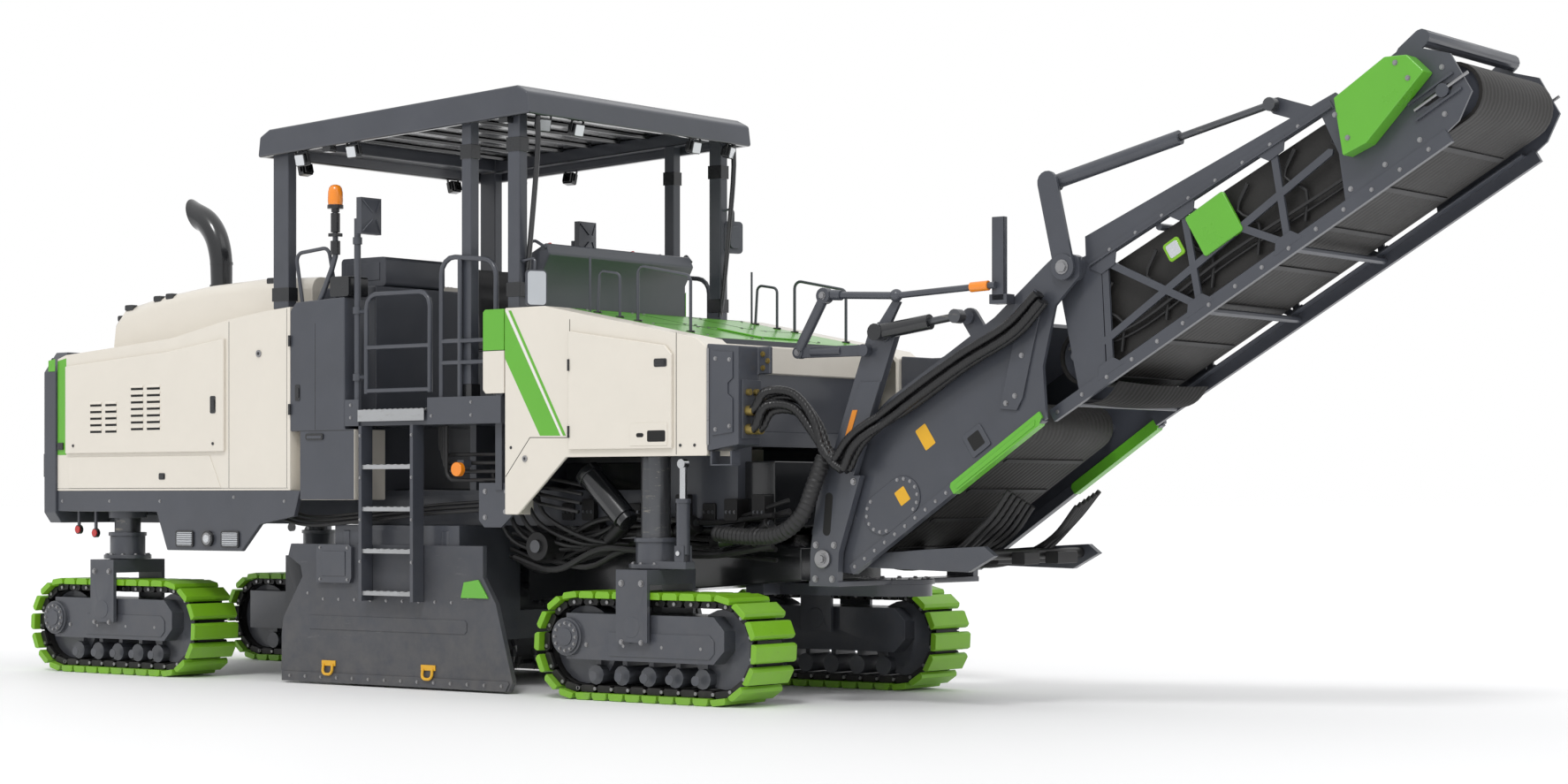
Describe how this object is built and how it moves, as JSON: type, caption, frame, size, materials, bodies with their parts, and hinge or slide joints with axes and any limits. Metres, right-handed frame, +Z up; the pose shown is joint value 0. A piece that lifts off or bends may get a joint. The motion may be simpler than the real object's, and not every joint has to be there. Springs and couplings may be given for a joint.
{
  "type": "cold planer milling machine",
  "caption": "Road milling machine: steered crawler tracks, milling drum amidships, open platform under a canopy, slewing and folding discharge conveyor in front.",
  "frame": {"origin": "middle of the overall box, on the ground under the tracks", "axes": "+X towards the discharge end of the conveyor, +Y to the machine's left, +Z up"},
  "size_m": [11.8846, 2.556, 4.1805],
  "materials": {
    "dark_paint": "satin anthracite paint",
    "cream_paint": "satin cream paint",
    "green_paint": "satin green paint",
    "track_green": "moulded green polyurethane shoes",
    "black_rubber": "matt black belt",
    "bare_steel": "bare and worn steel",
    "seat_vinyl": "black vinyl"
  },
  "bodies": {
    "chassis": {"canopy_frame": "dark_paint", "canopy_roof": "dark_paint", "console": "dark_paint", "drum_housing": "dark_paint", "engine_block": "dark_paint", "front_body_left": "cream_paint", "front_body_right": "cream_paint", "front_deck": "green_paint", "front_panel_left": "dark_paint", "front_panel_right": "dark_paint", "handrail_left": "dark_paint", "handrail_right": "dark_paint", "hydraulic_tank": "dark_paint", "ladder_left": "dark_paint", "ladder_right": "dark_paint", "main_frame": "dark_paint", "platform": "dark_paint", "rear_body": "cream_paint", "rear_frame": "dark_paint", "seat_left": "seat_vinyl", "seat_right": "seat_vinyl", "side_cabinet_left": "dark_paint", "side_cabinet_right": "dark_paint", "skirt_left": "dark_paint", "skirt_right": "dark_paint"},
    "track_right_front": {"right_front_track": "track_green", "right_front_track_frame": "dark_paint"},
    "track_left_front": {"left_front_track": "track_green", "left_front_track_frame": "dark_paint"},
    "track_right_rear": {"right_rear_track": "track_green", "right_rear_track_frame": "dark_paint"},
    "track_left_rear": {"left_rear_track": "track_green", "left_rear_track_frame": "dark_paint"},
    "drum": {"milling_drum": "bare_steel"},
    "scraper": {"scraper_blade": "dark_paint"},
    "hood": {"engine_hood": "cream_paint", "exhaust": "dark_paint"},
    "edge_plate_right": {"side_plate_right": "dark_paint"},
    "door_rear_right": {"rear_door_right": "cream_paint"},
    "door_front_right": {"front_door_right": "cream_paint"},
    "platform_gate_right": {"gate_right": "dark_paint"},
    "edge_plate_left": {"side_plate_left": "dark_paint"},
    "door_rear_left": {"rear_door_left": "cream_paint"},
    "door_front_left": {"front_door_left": "cream_paint"},
    "platform_gate_left": {"gate_left": "dark_paint"},
    "slew_mount": {"conveyor_mount": "dark_paint"},
    "lower_section": {"lower_conveyor": "dark_paint", "lower_belt": "black_rubber"},
    "upper_section": {"upper_conveyor": "dark_paint", "upper_belt": "black_rubber", "head_cover": "green_paint"},
    "luff_barrels": {"luff_left_barrel": "dark_paint", "luff_right_barrel": "dark_paint"},
    "luff_rods": {"luff_left_rod": "bare_steel", "luff_right_rod": "bare_steel"},
    "lever": {"fold_lever": "dark_paint"},
    "fold_cylinder": {"fold_barrel": "dark_paint"},
    "fold_piston": {"fold_rod": "bare_steel"}
  },
  "joints": [
    {"name": "steer_right_front", "type": "hinge", "parent": "chassis", "child": "track_right_front", "pos_m": [0.23691, -1.02, 0.9], "axis": [0, 0, 1], "range_deg": [-20, 20]},
    {"name": "steer_left_front", "type": "hinge", "parent": "chassis", "child": "track_left_front", "pos_m": [0.23691, 1.02, 0.9], "axis": [0, 0, 1], "range_deg": [-20, 20]},
    {"name": "steer_right_rear", "type": "hinge", "parent": "chassis", "child": "track_right_rear", "pos_m": [-5.09309, -1.02, 0.9], "axis": [0, 0, 1], "range_deg": [-20, 20]},
    {"name": "steer_left_rear", "type": "hinge", "parent": "chassis", "child": "track_left_rear", "pos_m": [-5.09309, 1.02, 0.9], "axis": [0, 0, 1], "range_deg": [-20, 20]},
    {"name": "drum_spin", "type": "hinge", "parent": "chassis", "child": "drum", "pos_m": [-2.14809, 0, 0.56], "axis": [0, 1, 0], "continuous": true},
    {"name": "scraper_tilt", "type": "hinge", "parent": "chassis", "child": "scraper", "pos_m": [-2.75309, 0, 0.8], "axis": [0, 1, 0], "range_deg": [0, 80]},
    {"name": "hood_lift", "type": "hinge", "parent": "chassis", "child": "hood", "pos_m": [-5.32809, 0, 2.48948], "axis": [0, -1, 0], "range_deg": [0, 40]},
    {"name": "edge_plate_lift_right", "type": "slide", "parent": "chassis", "child": "edge_plate_right", "axis": [0, 0, 1], "range_m": [0, 0.3]},
    {"name": "rear_door_swing_right", "type": "hinge", "parent": "chassis", "child": "door_rear_right", "pos_m": [-3.75809, -1.2453, 1.7], "axis": [0, 0, 1], "range_deg": [0, 100]},
    {"name": "front_door_swing_right", "type": "hinge", "parent": "chassis", "child": "door_front_right", "pos_m": [-0.34809, -1.2453, 1.68], "axis": [0, 0, -1], "range_deg": [0, 100]},
    {"name": "gate_swing_right", "type": "hinge", "parent": "chassis", "child": "platform_gate_right", "pos_m": [-2.41809, -1.175, 1.97], "axis": [0, 0, 1], "range_deg": [0, 90]},
    {"name": "edge_plate_lift_left", "type": "slide", "parent": "chassis", "child": "edge_plate_left", "axis": [0, 0, 1], "range_m": [0, 0.3]},
    {"name": "rear_door_swing_left", "type": "hinge", "parent": "chassis", "child": "door_rear_left", "pos_m": [-3.75809, 1.2453, 1.7], "axis": [0, 0, -1], "range_deg": [0, 100]},
    {"name": "front_door_swing_left", "type": "hinge", "parent": "chassis", "child": "door_front_left", "pos_m": [-0.34809, 1.2453, 1.68], "axis": [0, 0, 1], "range_deg": [0, 100]},
    {"name": "gate_swing_left", "type": "hinge", "parent": "chassis", "child": "platform_gate_left", "pos_m": [-2.41809, 1.175, 1.97], "axis": [0, 0, -1], "range_deg": [0, 90]},
    {"name": "conveyor_slew", "type": "hinge", "parent": "chassis", "child": "slew_mount", "pos_m": [1.48191, 0, 0.78], "axis": [0, 0, 1], "range_deg": [-40, 40]},
    {"name": "conveyor_luff", "type": "hinge", "parent": "slew_mount", "child": "lower_section", "pos_m": [1.48191, 0, 0.96], "axis": [0, -1, 0], "range_deg": [-8, 4]},
    {"name": "conveyor_fold", "type": "hinge", "parent": "lower_section", "child": "upper_section", "pos_m": [3.27123, 0, 2.77037], "axis": [0, -1, 0], "range_deg": [0, 120]},
    {"name": "luff_cylinder_tilt", "type": "hinge", "parent": "slew_mount", "child": "luff_barrels", "pos_m": [1.96191, 0, 2.41], "axis": [0, -1, 0], "range_deg": [-17, 9]},
    {"name": "luff_rod_slide", "type": "slide", "parent": "luff_barrels", "child": "luff_rods", "axis": [0.9912, 0, 0.1323], "range_m": [-0.1, 0.2]},
    {"name": "fold_lever_turn", "type": "hinge", "parent": "lower_section", "child": "lever", "pos_m": [3.27123, 0, 2.77037], "axis": [0, -1, 0], "range_deg": [0, 55]},
    {"name": "fold_cylinder_tilt", "type": "hinge", "parent": "lever", "child": "fold_cylinder", "pos_m": [3.15093, 0, 3.29988], "axis": [0, -1, 0], "range_deg": [0, 84]},
    {"name": "fold_rod_slide", "type": "slide", "parent": "fold_cylinder", "child": "fold_piston", "axis": [0.9718, 0, 0.236], "range_m": [-0.442, 0]}
  ],
  "couplings": [
    {"joint": "luff_cylinder_tilt", "follows": "conveyor_luff", "ratio": 2},
    {"joint": "luff_rod_slide", "follows": "conveyor_luff", "m_per_rad": -1.38},
    {"joint": "fold_lever_turn", "follows": "conveyor_fold", "ratio": 0.45},
    {"joint": "fold_cylinder_tilt", "follows": "conveyor_fold", "ratio": 0.6945},
    {"joint": "fold_rod_slide", "follows": "conveyor_fold", "m_per_rad": -0.2105}
  ]
}
